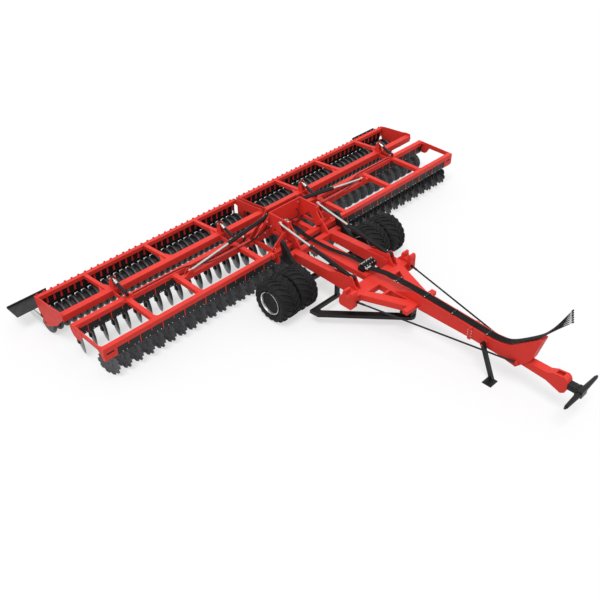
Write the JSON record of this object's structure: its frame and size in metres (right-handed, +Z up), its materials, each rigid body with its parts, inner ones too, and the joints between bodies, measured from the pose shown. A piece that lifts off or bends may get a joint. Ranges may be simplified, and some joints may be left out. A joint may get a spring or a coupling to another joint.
{
  "type": "trailed folding disc harrow",
  "caption": "Trailed disc harrow with folding wings, notched and plain disc rows, a ring packer with scrapers, twin wheels and a long drawbar for a tractor's lower links.",
  "frame": {"origin": "on the ground, at the middle of the machine's length and width", "axes": "+Z up, -Y along the drawbar to the tractor, +X to the machine's left"},
  "size_m": [12.86, 10.94, 2.4846],
  "materials": {
    "red_paint": "gloss",
    "dark_paint": "satin",
    "black_paint": "satin",
    "disc_steel": "brushed",
    "roller_steel": "satin",
    "rod_steel": "polished",
    "rim": "satin",
    "tyre": "matte",
    "rubber": "matte",
    "board": "matte"
  },
  "bodies": {
    "chassis": {"chassis_beams": "red_paint", "cross_beam": "red_paint", "a_frame": "red_paint", "drawbar": "red_paint", "hose_tower": "red_paint", "hitch_neck": "red_paint", "hitch_shaft": "black_paint", "axle": "black_paint", "stay_rods": "black_paint", "valve_block": "black_paint", "supply_hoses": "rubber", "axle_braces": "black_paint", "chassis_hoses": "rubber"},
    "stand": {"parking_stand": "black_paint"},
    "right_wheels": {"right_inner_tyre": "tyre", "right_outer_tyre": "tyre", "right_rims": "rim"},
    "left_wheels": {"left_inner_tyre": "tyre", "left_outer_tyre": "tyre", "left_rims": "rim"},
    "toolbar": {"centre_frame": "red_paint", "centre_front_discs": "disc_steel", "centre_rear_discs": "disc_steel", "centre_carriers": "dark_paint"},
    "right_wing": {"right_disc_frame": "red_paint", "right_front_discs": "disc_steel", "right_rear_discs": "disc_steel", "right_disc_carriers": "dark_paint", "right_roller_frame": "red_paint", "right_scrapers": "dark_paint", "right_depth_cylinders": "black_paint", "right_edge_board": "board", "right_scraper_holders": "red_paint", "right_wing_hose": "rubber", "right_roller_gussets": "red_paint", "right_frame_brackets": "red_paint"},
    "right_roller": {"right_roller": "roller_steel"},
    "right_tilt_barrel": {"right_tilt_barrel": "black_paint"},
    "right_tilt_rod": {"right_tilt_rod": "rod_steel"},
    "right_fold_barrel": {"right_fold_barrel": "black_paint"},
    "right_fold_rod": {"right_fold_rod": "rod_steel"},
    "left_wing": {"left_disc_frame": "red_paint", "left_front_discs": "disc_steel", "left_rear_discs": "disc_steel", "left_disc_carriers": "dark_paint", "left_roller_frame": "red_paint", "left_scrapers": "dark_paint", "left_depth_cylinders": "black_paint", "left_edge_board": "board", "left_scraper_holders": "red_paint", "left_wing_hose": "rubber", "left_roller_gussets": "red_paint", "left_frame_brackets": "red_paint"},
    "left_roller": {"left_roller": "roller_steel"},
    "left_tilt_barrel": {"left_tilt_barrel": "black_paint"},
    "left_tilt_rod": {"left_tilt_rod": "rod_steel"},
    "left_fold_barrel": {"left_fold_barrel": "black_paint"},
    "left_fold_rod": {"left_fold_rod": "rod_steel"}
  },
  "joints": [
    {"name": "right_wheels_spin", "type": "hinge", "parent": "chassis", "child": "right_wheels", "pos_m": [0, 1.228, 0.535], "axis": [1, 0, 0], "continuous": true},
    {"name": "left_wheels_spin", "type": "hinge", "parent": "chassis", "child": "left_wheels", "pos_m": [0, 1.228, 0.535], "axis": [1, 0, 0], "continuous": true},
    {"name": "toolbar_tilt", "type": "hinge", "parent": "chassis", "child": "toolbar", "pos_m": [0, 2.15, 1.16], "axis": [1, 0, 0], "range_deg": [0, 90]},
    {"name": "stand_swing", "type": "hinge", "parent": "chassis", "child": "stand", "pos_m": [-0.2, -3.22, 0.8], "axis": [1, 0, 0], "range_deg": [0, 100]},
    {"name": "right_wing_fold", "type": "hinge", "parent": "toolbar", "child": "right_wing", "pos_m": [-1.15, 2.99, 0.905], "axis": [0, 1, 0], "range_deg": [0, 90]},
    {"name": "right_roller_spin", "type": "hinge", "parent": "right_wing", "child": "right_roller", "pos_m": [0, 4.57, 0.3], "axis": [1, 0, 0], "continuous": true},
    {"name": "right_tilt_barrel_swing", "type": "hinge", "parent": "chassis", "child": "right_tilt_barrel", "pos_m": [-0.655, 0.052, 1.076], "axis": [1, 0, 0], "range_deg": [0, 1.56]},
    {"name": "right_tilt_rod_slide", "type": "slide", "parent": "right_tilt_barrel", "child": "right_tilt_rod", "axis": [0, -0.9859, -0.1671], "range_m": [0, 0.5843]},
    {"name": "right_fold_barrel_swing", "type": "hinge", "parent": "toolbar", "child": "right_fold_barrel", "pos_m": [-0.47, 2.99, 1.4], "axis": [0, 1, 0], "range_deg": [0, 75.91]},
    {"name": "right_fold_rod_slide", "type": "slide", "parent": "right_fold_barrel", "child": "right_fold_rod", "axis": [0.9884, 0, 0.152], "range_m": [0, 1.0886]},
    {"name": "left_wing_fold", "type": "hinge", "parent": "toolbar", "child": "left_wing", "pos_m": [1.15, 2.99, 0.905], "axis": [0, -1, 0], "range_deg": [0, 90]},
    {"name": "left_roller_spin", "type": "hinge", "parent": "left_wing", "child": "left_roller", "pos_m": [0, 4.57, 0.3], "axis": [1, 0, 0], "continuous": true},
    {"name": "left_tilt_barrel_swing", "type": "hinge", "parent": "chassis", "child": "left_tilt_barrel", "pos_m": [0.655, 0.052, 1.076], "axis": [1, 0, 0], "range_deg": [0, 1.56]},
    {"name": "left_tilt_rod_slide", "type": "slide", "parent": "left_tilt_barrel", "child": "left_tilt_rod", "axis": [0, -0.9859, -0.1671], "range_m": [0, 0.5843]},
    {"name": "left_fold_barrel_swing", "type": "hinge", "parent": "toolbar", "child": "left_fold_barrel", "pos_m": [0.47, 2.99, 1.4], "axis": [0, -1, 0], "range_deg": [0, 75.91]},
    {"name": "left_fold_rod_slide", "type": "slide", "parent": "left_fold_barrel", "child": "left_fold_rod", "axis": [-0.9884, 0, 0.152], "range_m": [0, 1.0886]}
  ],
  "couplings": [
    {"joint": "right_tilt_barrel_swing", "follows": "toolbar_tilt", "ratio": 0.01734},
    {"joint": "right_tilt_rod_slide", "follows": "toolbar_tilt", "m_per_rad": 0.37197},
    {"joint": "right_fold_barrel_swing", "follows": "right_wing_fold", "ratio": 0.84342},
    {"joint": "right_fold_rod_slide", "follows": "right_wing_fold", "m_per_rad": 0.693},
    {"joint": "left_tilt_barrel_swing", "follows": "toolbar_tilt", "ratio": 0.01734},
    {"joint": "left_tilt_rod_slide", "follows": "toolbar_tilt", "m_per_rad": 0.37197},
    {"joint": "left_fold_barrel_swing", "follows": "left_wing_fold", "ratio": 0.84342},
    {"joint": "left_fold_rod_slide", "follows": "left_wing_fold", "m_per_rad": 0.693}
  ]
}
